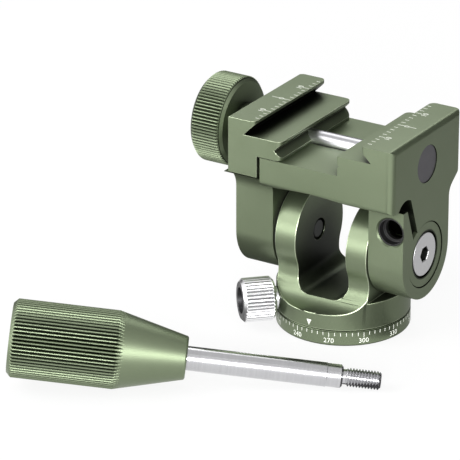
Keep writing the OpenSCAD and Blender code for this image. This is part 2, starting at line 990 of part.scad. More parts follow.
module clamp_knob() {
    color(green)
        difference() {
            union() {
                translate([knob_out, 0, screw_z])
                    rotate([0, 90, 0])
                        knurled_bar(clamp_knob_r, clamp_knurl_depth, clamp_knurls, clamp_knob_l,
                            knob_outer_chamfer, knob_inner_chamfer);
                x_rod(knob_boss_r, (knob_out + knob_in) / 2, knob_boss_end, 0, screw_z);
            }
            x_rod(shank_r, knob_screw_start, knob_boss_end + over, 0, screw_z);
            translate([grub_x, 0, screw_z])
                cylinder(r = grub_r, h = knob_boss_r + over);
        }
}

module clamp_screw() {
    color(silver)
        difference() {
            union() {
                x_rod(shank_r, knob_screw_start, shank_end, 0, screw_z);
                x_rod(clamp_thread_r, shank_end, clamp_screw_end, 0, screw_z);
            }
            translate([grub_x, 0, screw_z + shank_r - edge_break])
                cylinder(r = grub_r, h = shank_r);
        }
}

module screw_stop_ring() {
    color(steel)
        x_ring(stop_ring_r, clamp_thread_r, stop_ring_in, clamp_screw_end, 0, screw_z);
}

module knob_grub_screw() {
    color(steel)
        translate([grub_x, 0, screw_z + shank_r - edge_break])
            difference() {
                cylinder(r = grub_r, h = knob_boss_r - shank_r);
                translate([0, 0, (knob_boss_r - shank_r) / 2])
                    cylinder(r = grub_r / 2, h = knob_boss_r, $fn = 6);
            }
}

// Handle

// Lays the handle on the surface: it rests on the knurl's edge and on the last crest of the stud
module laid_down() {
    translate([-handle_left, -handle_front, handle_lift])
        rotate([0, 90 + handle_droop, handle_yaw])
            children();
}

module handle_grip() {
    cone_r = grip_r - 2 * grip_knurl_depth;
    color(green)
        laid_down()
            difference() {
                union() {
                    knurled_bar(grip_r, grip_knurl_depth, grip_knurls, grip_knurl_l, grip_chamfer, edge_break);
                    translate([0, 0, grip_knurl_l / 2])
                        cylinder(r = cone_r, h = grip_knurl_l / 2);
                    translate([0, 0, grip_knurl_l])
                        cylinder(r1 = cone_r, r2 = grip_neck_d / 2, h = grip_cone_l);
                }
                translate([0, 0, grip_l - rod_inside])
                    cylinder(r = rod_r, h = rod_inside + over);
            }
}

module handle_rod() {
    collar_r = rod_r - collar_step;
    core_r = stud_core_r;
    color(silver)
        laid_down()
            rotate_extrude()
                polygon(concat(
                    [
                        [0, grip_l - rod_inside],
                        [rod_r, grip_l - rod_inside],
                        [rod_r, rod_end - collar_l],
                        [collar_r, rod_end - collar_l],
                        [collar_r, rod_end - rod_chamfer],
                        [collar_r - rod_chamfer, rod_end],
                        [core_r, rod_end]
                    ],
                    [
                        for (i = [0 : thread_crests - 1], step = [0, 1])
                            step == 0
                                ? [core_r, thread_start + i * thread_pitch]
                                : [stud_r, thread_start + (i + 0.5) * thread_pitch]
                    ],
                    [
                        [core_r, thread_start + thread_crests * thread_pitch],
                        [core_r - rod_chamfer, handle_l],
                        [0, handle_l]
                    ]
                ));
}

base_disc();
socket_insert();
pan_washer();
fork();
retaining_screws();
pan_lock_pad();
pan_lock_screw();
pan_lock_knob();
tilt_hub_left();
tilt_hub_right();
tilt_screw_left();
tilt_screw_right();
thrust_washer_left();
thrust_washer_right();
tilt_frame();
arm_bush();
handle_seat();
clamp_nut();
screw_plug();
jaw_springs();
movable_jaw();
guide_pins();
knob_washer();
clamp_knob();
clamp_screw();
screw_stop_ring();
knob_grub_screw();
handle_grip();
handle_rod();
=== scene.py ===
import json
import math

import bmesh
import bpy
import numpy as np
from mathutils import Matrix, Vector


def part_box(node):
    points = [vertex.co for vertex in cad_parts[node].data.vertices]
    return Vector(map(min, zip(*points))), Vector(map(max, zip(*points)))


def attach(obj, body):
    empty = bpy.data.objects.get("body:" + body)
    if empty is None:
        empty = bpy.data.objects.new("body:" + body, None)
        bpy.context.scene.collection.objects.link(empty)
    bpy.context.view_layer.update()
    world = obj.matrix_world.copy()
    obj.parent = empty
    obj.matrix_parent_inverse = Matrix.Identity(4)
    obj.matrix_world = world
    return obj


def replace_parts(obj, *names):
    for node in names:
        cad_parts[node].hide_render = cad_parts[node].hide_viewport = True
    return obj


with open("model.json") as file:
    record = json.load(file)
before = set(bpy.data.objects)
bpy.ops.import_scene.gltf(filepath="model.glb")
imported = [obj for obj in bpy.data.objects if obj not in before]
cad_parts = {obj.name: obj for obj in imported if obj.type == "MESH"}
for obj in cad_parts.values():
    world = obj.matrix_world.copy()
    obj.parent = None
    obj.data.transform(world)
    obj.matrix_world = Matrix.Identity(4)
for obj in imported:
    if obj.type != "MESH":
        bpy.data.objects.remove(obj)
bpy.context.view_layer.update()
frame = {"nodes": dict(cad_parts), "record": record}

mm = 0.001
nodes = frame["nodes"]
print("frame loaded:", len(nodes), "nodes")


# An output socket: arithmetic and comparisons on it add Math nodes to its tree
class Val:
    def __init__(self, maker, socket):
        self.maker = maker
        self.socket = socket

    def maths(self, operation, *others):
        return self.maker.node("ShaderNodeMath", {"operation": operation}, dict(enumerate((self, *others))))

    def __add__(self, other):
        return self.maths("ADD", other)

    def __sub__(self, other):
        return self.maths("SUBTRACT", other)

    def __mul__(self, other):
        return self.maths("MULTIPLY", other)

    def __mod__(self, other):
        return self.maths("MODULO", other)

    def __gt__(self, other):
        return self.maths("GREATER_THAN", other)

    def __lt__(self, other):
        return self.maths("LESS_THAN", other)


class NodeMaker:
    def __init__(self, tree):
        self.tree = tree

    # One node of any type: its settings, the values or links of its inputs, and the output to go on with
    def node(self, kind, settings=None, inputs=None, out=0):
        item = self.tree.nodes.new(kind)
        for key, value in (settings or {}).items():
            setattr(item, key, value)
        for key, value in (inputs or {}).items():
            socket = item.inputs[key]
            if isinstance(value, Val):
                self.tree.links.new(value.socket, socket)
            elif isinstance(value, tuple) and len(value) == 3 and len(socket.default_value) == 4:
                socket.default_value = (*value, 1)
            else:
                socket.default_value = value
        return Val(self, item.outputs[out]) if len(item.outputs) else None

    def vector(self, operation, a, b, out=0):
        return self.node("ShaderNodeVectorMath", {"operation": operation}, {0: a, 1: b}, out)

    def scaled(self, vector, factor):
        return self.node("ShaderNodeVectorMath", {"operation": "SCALE"}, {0: vector, "Scale": factor})

    def joined(self, x, y, z):
        return self.node("ShaderNodeCombineXYZ", None, {0: x, 1: y, 2: z})

    # 1 for rays from the camera, mirrored rays and refracted rays, 0 for the others
    def seenRays(self):
        camera, mirrored, through = (self.node("ShaderNodeLightPath", out="Is " + kind + " Ray")
                                     for kind in ("Camera", "Glossy", "Transmission"))
        return camera.maths("MAXIMUM", mirrored).maths("MAXIMUM", through)


class Shader(NodeMaker):
    def __init__(self, name):
        self.material = bpy.data.materials.new(name)
        self.material.use_nodes = True
        super().__init__(self.material.node_tree)
        self.tree.nodes.clear()

    def place(self):
        return self.node("ShaderNodeTexCoord", out="Object")

    def noise(self, vector, size, detail=2.0, roughness=0.5):
        return self.node("ShaderNodeTexNoise", {"noise_dimensions": "3D"},
                         {"Vector": vector, "Scale": 1 / size, "Detail": detail, "Roughness": roughness})

    def lines(self, along, size):
        return self.node("ShaderNodeTexNoise", {"noise_dimensions": "1D"},
                         {"W": along, "Scale": 1 / size, "Detail": 2.0})

    def between(self, low, high, factor):
        return self.node("ShaderNodeMix", {"data_type": "RGBA"}, {0: factor, 6: low, 7: high}, 2)

    def smoothStep(self, value, low, high, start, end):
        return self.node("ShaderNodeMapRange", {"interpolation_type": "SMOOTHSTEP"}, {
            "Value": value, "From Min": low, "From Max": high, "To Min": start, "To Max": end})

    def bump(self, height, depth, strength):
        return self.node("ShaderNodeBump", None, {"Height": height, "Distance": depth, "Strength": strength})

    # Distance along an axis, and distance from it
    def turned(self, start, way):
        offset = self.vector("SUBTRACT", self.place(), start)
        along = self.vector("DOT_PRODUCT", offset, way, "Value")
        away = self.vector("SUBTRACT", offset, self.scaled(way, along))
        return along, self.node("ShaderNodeVectorMath", {"operation": "LENGTH"}, {0: away}, "Value")

    def finish(self, shader):
        self.node("ShaderNodeOutputMaterial", None, {0: shader})
        return self.material

    def surface(self, colour, roughness, normal, metallic=0.0):
        return self.finish(self.node("ShaderNodeBsdfPrincipled", None, {
            "Base Color": colour, "Roughness": roughness, "Metallic": metallic, "Normal": normal}))


def weighted(values, weights):
    total = values[0] * weights[0]
    for value, weight in zip(values[1:], weights[1:]):
        total = total + value * weight
    return total


# Levels of 0 to 255 as a linear colour
def linear(red, green, blue):
    return tuple(((c / 255 + 0.055) / 1.055) ** 2.4 if c > 10 else c / 3294.6 for c in (red, green, blue))


def shades(colour, spread=0.2):
    return tuple(c * (1 - spread) for c in colour), tuple(c * (1 + spread) for c in colour)


# edge is a painted highlight for broken edges and groove a painted shade for grooves, wells and gaps; recess to deepest
# set the painted shade in recesses
greenFinish = {
    "light": linear(123, 134, 110), "dark": linear(111, 122, 97),
    "edge": linear(192, 204, 174), "groove": linear(52, 60, 44),
    "grain": 0.14 * mm, "fleck": 0.56 * mm, "cloud": 9 * mm, "weights": (0.6, 0.25, 0.15),
    "metallic": 0.9, "roughness": 0.34, "roughWeights": (0.05, 0.08), "edgeGlossAndHighlight": 0.08,
    "bump": 0.006 * mm, "bumpStrength": 0.5, "fleckBump": 0.5,
    "recess": 24 * mm, "recessRays": 12, "closed": 0.36, "open": 0.93, "deepest": 0.03,
}


# Green finish, with painted shade in recesses of the piece itself, from its own ambient occlusion. The grooves of a
# knurl and a well get painted shade between the groove's and the ridge's radius, but not within a smaller one
def anodised(name, glossAndHighlight=0.0, shadeBand=None, shadeTone=None):
    v = greenFinish
    s = Shader(name)
    at = s.place()
    grain = s.noise(at, v["grain"], 3)
    fleck = s.noise(at, v["fleck"], 2)
    cloud = s.noise(at, v["cloud"], 3, 0.6)
    # Painted highlight: broken edges take the light edge colour in place of the two tones, and are glossier
    low, high = (v["edge"], v["edge"]) if glossAndHighlight else (v["dark"], v["light"])
    # Painted shade: the whole piece takes a dark tone
    if shadeTone:
        low, high = shades(shadeTone)
    colour = s.between(low, high, weighted((cloud, fleck, grain), v["weights"]))
    # Painted shade between the ridges of a knurl, and inside a well
    if shadeBand:
        _, away = s.turned(shadeBand["start"], shadeBand["way"])
        height = s.smoothStep(away, shadeBand["groove"], shadeBand["ridge"], 0.0, 1.0)
        colour = s.between(v["groove"], colour, height.maths("MAXIMUM", away < shadeBand["within"]))
    # Painted shade: the colour darkens in recesses, by the piece's own ambient occlusion
    openness = s.node("ShaderNodeAmbientOcclusion", {"samples": v["recessRays"], "only_local": True},
                      {"Distance": v["recess"]}, "AO")
    colour = s.scaled(colour, s.smoothStep(openness, v["closed"], v["open"], v["deepest"], 1.0))
    rough = weighted((cloud, grain), v["roughWeights"]) + (v["roughness"] - glossAndHighlight)
    return s.surface(colour, rough, s.bump(grain + fleck * v["fleckBump"], v["bump"], v["bumpStrength"]), v["metallic"])


steelFinish = {"line": 0.09 * mm, "band": 0.81 * mm, "smear": 6 * mm, "lineWeights": (0.5, 0.5),
               "weights": (0.4, 0.3, 0.3), "roughWeights": (0.08, 0.06), "roughMean": 0.07,
               "bump": 0.002 * mm, "bumpStrength": 0.4}
# hollow is a darker tone painted as shade in a piece's hollows
steelTones = {
    "handleSteel": {"bright": (214, 214, 216), "shade": (176, 176, 179), "roughness": 0.2},
    "panSteel": {"bright": (248, 248, 248), "shade": (232, 232, 234), "roughness": 0.32, "hollow": (140, 140, 142)},
    "tiltSteel": {"bright": (244, 244, 244), "shade": (226, 226, 228), "roughness": 0.4, "hollow": (66, 68, 66)},
    "clampSteel": {"bright": (190, 190, 192), "shade": (170, 170, 174), "roughness": 0.34},
    "clampPlain": {"bright": (170, 170, 174), "shade": (136, 136, 140), "roughness": 0.3},
    "innerSteel": {"bright": (170, 170, 174), "shade": (136, 136, 140), "roughness": 0.3},
    "brass": {"bright": (214, 186, 118), "shade": (186, 156, 92), "roughness": 0.28},
}


# Metal with fine lines round an axis; its hollows get painted shade, a darker tone, where a function of the shader,
# along and away, finds them
def turnedSteel(name, start, way, inPaintedShade=None):
    v, tones = steelFinish, steelTones[name]
    s = Shader(name)
    along, away = s.turned(start, way)
    fine = weighted((s.lines(along, v["line"]), s.lines(away, v["line"])), v["lineWeights"])
    broad = s.lines(along, v["band"])
    smear = s.noise(s.place(), v["smear"], 3)
    colour = s.between(linear(*tones["shade"]), linear(*tones["bright"]), weighted((fine, broad, smear), v["weights"]))
    # Painted shade in the hollows
    if inPaintedShade:
        colour = s.between(colour, linear(*tones["hollow"]), inPaintedShade(s, along, away))
    rough = weighted((fine, smear), v["roughWeights"]) + (tones["roughness"] - v["roughMean"])
    return s.surface(colour, rough, s.bump(fine, v["bump"], v["bumpStrength"]), 1.0)


plasticFinish = {"colour": (0.005, 0.005, 0.005), "grain": 0.2 * mm, "cloud": 3 * mm, "weights": (0.7, 0.3),
                 "roughness": 0.45, "grainRough": 0.15, "bump": 0.01 * mm, "bumpStrength": 0.5}


def mouldedPlastic(name):
    v = plasticFinish
    s = Shader(name)
    grain = s.noise(s.place(), v["grain"], 3)
    cloud = s.noise(s.place(), v["cloud"], 2)
    tone = s.between(*shades(v["colour"]), weighted((cloud, grain), v["weights"]))
    return s.surface(tone, grain * v["grainRough"] + v["roughness"], s.bump(grain, v["bump"], v["bumpStrength"]))


plugFinish = {"level": 80, "edgeShadeLevel": 24, "below": (8, 9, 6), "above": (8, 7, 10), "grain": 0.12 * mm,
              "cloud": 4 * mm, "weights": (0.6, 0.4), "roughness": 0.42, "grainRough": 0.12, "metallic": 0.55,
              "bump": 0.008 * mm, "bumpStrength": 0.6}


def darkMetal(name, level):
    v = plugFinish
    s = Shader(name)
    at = s.place()
    grain = s.noise(at, v["grain"], 3)
    cloud = s.noise(at, v["cloud"], 2)
    tone = s.between(linear(*(level - c for c in v["below"])), linear(*(level + c for c in v["above"])),
                     weighted((cloud, grain), v["weights"]))
    return s.surface(tone, grain * v["grainRough"] + v["roughness"], s.bump(grain, v["bump"], v["bumpStrength"]),
                     v["metallic"])


paintFinish = {"dark": linear(222, 226, 214), "light": linear(244, 246, 238), "grain": 0.06 * mm,
               "roughness": 0.45, "grainRough": 0.1, "bump": 0.003 * mm, "bumpStrength": 0.5}


def whitePaint(name):
    v = paintFinish
    s = Shader(name)
    grain = s.noise(s.place(), v["grain"], 2)
    return s.surface(s.between(v["dark"], v["light"], grain), grain * v["grainRough"] + v["roughness"],
                     s.bump(grain, v["bump"], v["bumpStrength"]))


def corners(node):
    return [Vector(c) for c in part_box(node)]


def middleOf(node):
    low, high = corners(node)
    return (low + high) / 2


def radiusOf(node, axis):
    low, high = corners(node)
    return (high[axis] - low[axis]) / 2


# Axis of a turned piece, from the flat faces at its ends: the centre of its low end, direction and length
endSlice = 0.05 * mm
axisPasses = 3  # each pass finds the end faces' points with a truer direction
axisDigits = 7  # points that agree to so many digits of a metre count once


def axisOf(node):
    mesh = nodes[node].data
    points = np.empty(len(mesh.vertices) * 3)
    mesh.vertices.foreach_get("co", points)
    points = np.unique(points.reshape(-1, 3).round(axisDigits), axis=0)
    _, _, turn = np.linalg.svd(points - points.mean(0), full_matrices=False)
    direction = turn[0] * np.sign(turn[0][0])
    for _ in range(axisPasses):
        reach = points @ direction
        ends = [points[reach < reach.min() + endSlice], points[reach > reach.max() - endSlice]]
        low, high = ((end.max(0) + end.min(0)) / 2 for end in ends)
        direction = (high - low) / np.linalg.norm(high - low)
    reach = (points - low) @ direction
    return Vector(low + direction * reach.min()), Vector(direction), float(reach.max() - reach.min())


acrossX, upZ = (1, 0, 0), (0, 0, 1)
handleStart, handleWay, handleLength = axisOf("handle_rod")
panStart, panWay, _ = axisOf("pan_lock_screw")
tiltMiddle = middleOf("tilt_screw_right")
clampMiddle = middleOf("clamp_screw")
clampKnobRadius = radiusOf("clamp_knob", 2)

# Bands about an axis that get painted shade: the clamp knob's knurl grooves, and the well round the tilt screw's head
clampKnurl = {"start": clampMiddle, "way": acrossX, "groove": clampKnobRadius - 0.45 * mm,
              "ridge": clampKnobRadius - 0.3 * mm, "within": clampKnobRadius - 0.57 * mm}
hubWellShade = {"start": tiltMiddle, "way": acrossX, "groove": 6.95 * mm, "ridge": 7.01 * mm, "within": 0.0}
panKnob = {"grooveFrom": 5.55 * mm, "grooveTo": 5.91 * mm, "start": -2.3 * mm, "end": 5.0 * mm,
           "hollow": 0.05 * mm, "hole": 3.7 * mm}
tiltScrew = {"head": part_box("tilt_screw_right")[1][0], "socketBelow": 0.35 * mm}


# Where the pan knob gets painted shade: the grooves of its knurl, and its hollow face
def inPanHollow(s, along, away):
    v = panKnob
    inGroove = (away > v["grooveFrom"]) * (away < v["grooveTo"]) * (along > v["start"]) * (along < v["end"])
    return inGroove.maths("MAXIMUM", (along < v["hollow"]) * (away < v["hole"]))


# Where a tilt screw gets painted shade: its hex socket, and its end between the ears
def inScrewSocket(s, along, away):
    sideways = s.node("ShaderNodeSeparateXYZ", None, {0: s.place()})
    return sideways.maths("ABSOLUTE") < tiltScrew["head"] - tiltScrew["socketBelow"]


green = anodised("greenAnodised")
# broken edges painted light as a highlight
greenEdge = anodised("greenEdge", glossAndHighlight=greenFinish["edgeGlossAndHighlight"])
# painted shade between the knob's ridges
greenKnob = anodised("greenKnob", shadeBand=clampKnurl)
# painted shade for the grip's grooves and the base disc's edge gaps
greenGroove = anodised("greenGroove", shadeTone=greenFinish["groove"])
white = whitePaint("whitePaint")
handleSteel = turnedSteel("handleSteel", handleStart, handleWay)
# painted shade in the knob's grooves and hollow face
panSteel = turnedSteel("panSteel", panStart, panWay, inPanHollow)
# painted shade in the screw's hex socket and on its end between the ears
tiltSteel = turnedSteel("tiltSteel", tiltMiddle, acrossX, inScrewSocket)
clampSteel = turnedSteel("clampSteel", clampMiddle, acrossX)
clampPlain = turnedSteel("clampPlain", clampMiddle, acrossX)
innerSteel = turnedSteel("innerSteel", (0, 0, 0), upZ)
brass = turnedSteel("brass", tiltMiddle, acrossX)
black = mouldedPlastic("blackPlastic")
plug = darkMetal("darkPlug", plugFinish["level"])
# the plug's broken edge painted dark as the shade round the plug
plugEdge = darkMetal("plugEdge", plugFinish["edgeShadeLevel"])
# painted shade inside the well round the tilt screw's head
greenHub = anodised("greenHub", shadeBand=hubWellShade)
print("materials made")


# Material and width of the broken edges, in mm
finishes = {
    "base_disc": (green, 0.12), "fork": (green, 0.2), "tilt_frame": (green, 0.3),
    "movable_jaw": (green, 0.3), "tilt_hub_left": (greenHub, 0.12), "tilt_hub_right": (greenHub, 0.12),
    "clamp_knob": (greenKnob, 0.06),
    "pan_lock_knob": (panSteel, 0.05), "pan_lock_screw": (panSteel, 0.1),
    "tilt_screw_left": (tiltSteel, 0.12), "tilt_screw_right": (tiltSteel, 0.12),
    "clamp_screw": (clampSteel, 0.1),
    "socket_insert": (innerSteel, 0.15), "retaining_screws": (innerSteel, 0.08),
    "clamp_nut": (clampPlain, 0.1), "jaw_springs": (clampPlain, 0.08), "guide_pins": (clampPlain, 0.1),
    "knob_washer": (clampPlain, 0.1), "screw_stop_ring": (clampPlain, 0.08), "knob_grub_screw": (clampPlain, 0.06),
    "pan_lock_pad": (brass, 0.1), "arm_bush": (brass, 0.1),
    "thrust_washer_left": (black, 0.08), "thrust_washer_right": (black, 0.06), "handle_seat": (black, 0.2),
    "pan_washer": (black, 0.08), "screw_plug": (plug, 0.12),
}
# Broken edges in a material of their own: the base disc's painted dark as the shade of its gaps, the fork's, frame's
# and jaw's painted light as a highlight, the plug's painted dark as the shade round it
edgeMaterials = {"base_disc": greenGroove, "fork": greenEdge, "tilt_frame": greenEdge, "movable_jaw": greenEdge,
                 "screw_plug": plugEdge}
cleaning = {"weld": 0.0005 * mm, "inkWeld": 0.0002 * mm, "flat": math.radians(0.4), "sharp": math.radians(28),
            "edgeSegments": 2}
bodyOf = {node: body for body, group in frame["record"]["behaviour"]["bodies"].items() for node in group}


def mergedCopy(node):
    mesh = nodes[node].data.copy()
    mesh.materials.clear()
    work = bmesh.new()
    work.from_mesh(mesh)
    bmesh.ops.remove_doubles(work, verts=work.verts, dist=cleaning["weld"])
    bmesh.ops.dissolve_limit(work, angle_limit=cleaning["flat"], verts=work.verts, edges=work.edges,
                             use_dissolve_boundaries=False)
    for face in work.faces:
        face.smooth = True
    for edge in work.edges:
        edge.smooth = len(edge.link_faces) != 2 or edge.calc_face_angle() < cleaning["sharp"]
    work.to_mesh(mesh)
    work.free()
    if mesh.has_custom_normals:
        mesh.normals_split_custom_set([(0, 0, 0)] * len(mesh.loops))
    return mesh


# Each part of the frame is copied, merged and given broken edges, and stands for its node
def dress(node, material, width):
    piece = bpy.data.objects.new(node + "_finished", mergedCopy(node))
    bpy.context.scene.collection.objects.link(piece)
    piece.data.materials.append(material)
    piece.data.materials.append(edgeMaterials.get(node, material))
    bevel = piece.modifiers.new("brokenEdges", "BEVEL")
    bevel.width = width * mm
    bevel.segments = cleaning["edgeSegments"]
    bevel.limit_method = "ANGLE"
    bevel.angle_limit = cleaning["sharp"]
    bevel.use_clamp_overlap = node != "fork"  # the fork's shortest edges would leave it no width at all
    bevel.harden_normals = True
    bevel.material = 1
    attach(piece, bodyOf[node])
    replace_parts(piece, node)


for node, (material, width) in finishes.items():
    dress(node, material, width)
print("parts dressed:", len(finishes))


def meshFrom(name, points, faces):
    mesh = bpy.data.meshes.new(name)
    mesh.from_pydata(points, [], faces)
    return mesh


# Turns all faces outward, and welds or smooths the mesh where that is asked
def settled(mesh, weld=0.0, smooth=False):
    work = bmesh.new()
    work.from_mesh(mesh)
    if weld:
        bmesh.ops.remove_doubles(work, verts=work.verts, dist=weld)
    bmesh.ops.recalc_face_normals(work, faces=work.faces)
    if smooth:
        for face in work.faces:
            face.smooth = True
        for edge in work.edges:
            edge.smooth = edge.calc_face_angle() < cleaning["sharp"]
    work.to_mesh(mesh)
    work.free()
    return mesh


def fixed(name, mesh, body, material=None):
    piece = bpy.data.objects.new(name, mesh)
    bpy.context.scene.collection.objects.link(piece)
    if material:
        mesh.materials.append(material)
    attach(piece, body)
    return piece


# Mesh that an object has after its modifiers, or a text once it is filled; the object itself goes
def bakedMesh(carrier):
    bpy.context.scene.collection.objects.link(carrier)
    mesh = bpy.data.meshes.new_from_object(carrier.evaluated_get(bpy.context.evaluated_depsgraph_get()))
    bpy.data.objects.remove(carrier)
    return mesh


class MarkTree(NodeMaker):
    def __init__(self, name):
        super().__init__(bpy.data.node_groups.new(name, "GeometryNodeTree"))
        self.entry = self.tree.nodes.new("NodeGroupInput")

    def size(self, name, kind="Float"):
        self.tree.interface.new_socket(name, in_out="INPUT", socket_type="NodeSocket" + kind)
        return Val(self, self.entry.outputs[name])

    def finish(self, geometry):
        self.tree.interface.new_socket("Marks", in_out="OUTPUT", socket_type="NodeSocketGeometry")
        self.node("NodeGroupOutput", None, {0: geometry})
        return self.tree


# Rows and rings of printed marks: bars one unit long, hung by their top ends and scaled to their lengths
def makeMarkTree():
    g = MarkTree("printedMarks")
    count, every, shift = (g.size(name, "Int") for name in ("Count", "Every", "Shift"))
    first, step = g.size("First", "Vector"), g.size("Step", "Vector")
    start, turn, lean = g.size("Start"), g.size("Turn"), g.size("Lean")
    short, long = g.size("Short"), g.size("Long")
    width, thickness = g.size("Width"), g.size("Thickness")
    index = g.node("GeometryNodeInputIndex")
    angle = index * turn + start
    length = short + (long - short) * ((index + shift) % every < 0.5)
    row = g.vector("ADD", first, g.scaled(step, index))
    place = g.node("ShaderNodeVectorRotate", {"rotation_type": "Z_AXIS"}, {"Vector": row, "Angle": angle})
    points = g.node("GeometryNodeMeshLine", {"mode": "OFFSET"}, {"Count": count})
    points = g.node("GeometryNodeSetPosition", None, {"Geometry": points, "Position": place})
    bar = g.node("GeometryNodeMeshCube", None, {"Size": g.joined(thickness, width, 1.0)})
    bar = g.node("GeometryNodeTransform", None, {"Geometry": bar, "Translation": (0, 0, -0.5)})
    way = g.node("FunctionNodeEulerToRotation", None, {0: g.joined(0.0, lean, angle)})
    marks = g.node("GeometryNodeInstanceOnPoints", None,
                   {"Points": points, "Instance": bar, "Rotation": way, "Scale": g.joined(1.0, 1.0, length)})
    marks = g.node("GeometryNodeRealizeInstances", None, {0: marks})
    marks = g.node("GeometryNodeSetMaterial", None, {"Geometry": marks, "Material": white})
    return g.finish(marks)


degreeScale = {"zero": 18.0, "count": 72, "every": 6, "top": 3.95 * mm, "short": 0.95 * mm, "long": 1.4 * mm,
               "width": 0.16 * mm, "digits": 1.37 * mm, "digitFoot": 0.9 * mm, "digitStep": 30,
               "proud": 0.015 * mm, "sunk": 0.06 * mm}
jawRuler = {"start": -16 * mm, "step": 2 * mm, "count": 17, "every": 5, "shift": 2, "short": 1.2 * mm,
            "long": 1.9 * mm, "width": 0.19 * mm, "inset": 0.25 * mm, "digits": 1.6 * mm, "digitOff": 3.0 * mm,
            "numbers": (("10", -10 * mm), ("0", 0), ("10", 10 * mm)), "lineOff": 3.9 * mm, "line": 2.0 * mm,
            "proud": 0.012 * mm, "sunk": 0.05 * mm}
jaws = {  # lip is the inner edge of the jaw's top, where its ruler starts
    "left": {"way": -1, "lip": -17.2 * mm, "body": "jaw", "node": "movable_jaw"},
    "right": {"way": 1, "lip": 15.9 * mm, "body": "frame", "node": "tilt_frame"},
}
baseRadius = radiusOf("base_disc", 0)
jawTop = corners("movable_jaw")[1].z
markTree = makeMarkTree()


# Ink stands a little proud of its face and is sunk in it: its thickness, and its middle above the face
def thicknessOf(ink):
    return ink["proud"] + ink["sunk"]


def middleAbove(ink):
    return (ink["proud"] - ink["sunk"]) / 2


def grown(name, ink, values, body):
    values = {"Shift": 0, "Step": (0, 0, 0), "Start": 0.0, "Turn": 0.0, "Lean": 0.0, "Width": ink["width"],
              "Thickness": thicknessOf(ink), **values}
    carrier = bpy.data.objects.new(name + "Carrier", bpy.data.meshes.new(name))
    modifier = carrier.modifiers.new("marks", "NODES")
    modifier.node_group = markTree
    for item in markTree.interface.items_tree:
        if item.in_out == "INPUT":
            modifier[item.identifier] = values[item.name]
    return fixed(name, bakedMesh(carrier), body)


def jawPoint(jaw, off, y):
    return jaw["lip"] + jaw["way"] * off, y, jawTop + middleAbove(jawRuler)


grown("degreeMarks", degreeScale, {
    "Count": degreeScale["count"], "Every": degreeScale["every"],
    "First": (baseRadius + middleAbove(degreeScale), 0, degreeScale["top"]),
    "Start": math.radians(degreeScale["zero"]), "Turn": math.radians(360 / degreeScale["count"]),
    "Short": degreeScale["short"], "Long": degreeScale["long"]}, "base")
for side, jaw in jaws.items():
    grown(side + "RulerMarks", jawRuler, {
        "Count": jawRuler["count"], "Every": jawRuler["every"], "Shift": jawRuler["shift"],
        "First": jawPoint(jaw, jawRuler["inset"], jawRuler["start"]), "Step": (0, jawRuler["step"], 0),
        "Lean": -jaw["way"] * math.pi / 2, "Short": jawRuler["short"], "Long": jawRuler["long"]},
        jaw["body"])
print("marks grown")


# Points and faces of a flat number, with its foot at y 0 and its middle at x 0
def numberShape(text, height, depth):
    curve = bpy.data.curves.new("number", "FONT")
    curve.body = text
    curve.resolution_u = 3
    curve.extrude = 0.5  # to both sides, so it is one unit thick before it gets its depth
    mesh = bakedMesh(bpy.data.objects.new("number", curve))
    points = np.array([tuple(v.co) for v in mesh.vertices])
    low, high = points.min(0), points.max(0)
    points -= ((low[0] + high[0]) / 2, low[1], 0)
    points[:, :2] *= height / (high[1] - low[1])
    points[:, 2] *= depth
    return points, [tuple(p.vertices) for p in mesh.polygons]


# Each number is laid by its own function of x, y and the distance from the ink's middle
def laidNumbers(name, ink, numbers, body):
    allPoints, allFaces = [], []
    for text, lay in numbers:
        points, faces = numberShape(text, ink["digits"], thicknessOf(ink))
        allFaces += [tuple(i + len(allPoints) for i in face) for face in faces]
        allPoints += [tuple(lay(*p)) for p in points]
    mesh = settled(meshFrom(name, allPoints, allFaces), weld=cleaning["inkWeld"])
    return fixed(name, mesh, body, white)


def onBase(angle):
    middle = baseRadius + middleAbove(degreeScale)
    return lambda x, y, z: ((middle + z) * math.cos(angle + x / baseRadius),
                            (middle + z) * math.sin(angle + x / baseRadius), degreeScale["digitFoot"] + y)


def onJaw(jaw, y0):
    x0, _, middle = jawPoint(jaw, jawRuler["digitOff"], y0)
    return lambda x, y, z: (x0 + jawRuler["digits"] / 2 - y, y0 + x, middle + z)


laidNumbers("degreeNumbers", degreeScale, [
    (str(value), onBase(math.radians(value + degreeScale["zero"])))
    for value in range(0, 360, degreeScale["digitStep"])], "base")
for side, jaw in jaws.items():
    laidNumbers(side + "RulerNumbers", jawRuler, [(text, onJaw(jaw, y)) for text, y in jawRuler["numbers"]],
                jaw["body"])
    grown(side + "RulerLine", jawRuler, {
        "Count": 1, "Every": 1, "First": jawPoint(jaw, jawRuler["lineOff"], 0), "Lean": -jaw["way"] * math.pi / 2,
        "Short": jawRuler["line"], "Long": jawRuler["line"]}, jaw["body"])
print("numbers laid")


# White pointer on the fork's foot: a prism wrapped on the foot's cylinder
pointer = {"angle": -90.0, "width": 1.5 * mm, "top": 6.9 * mm, "tip": 5.25 * mm, "blunt": 0.01 * mm, "rows": 5}


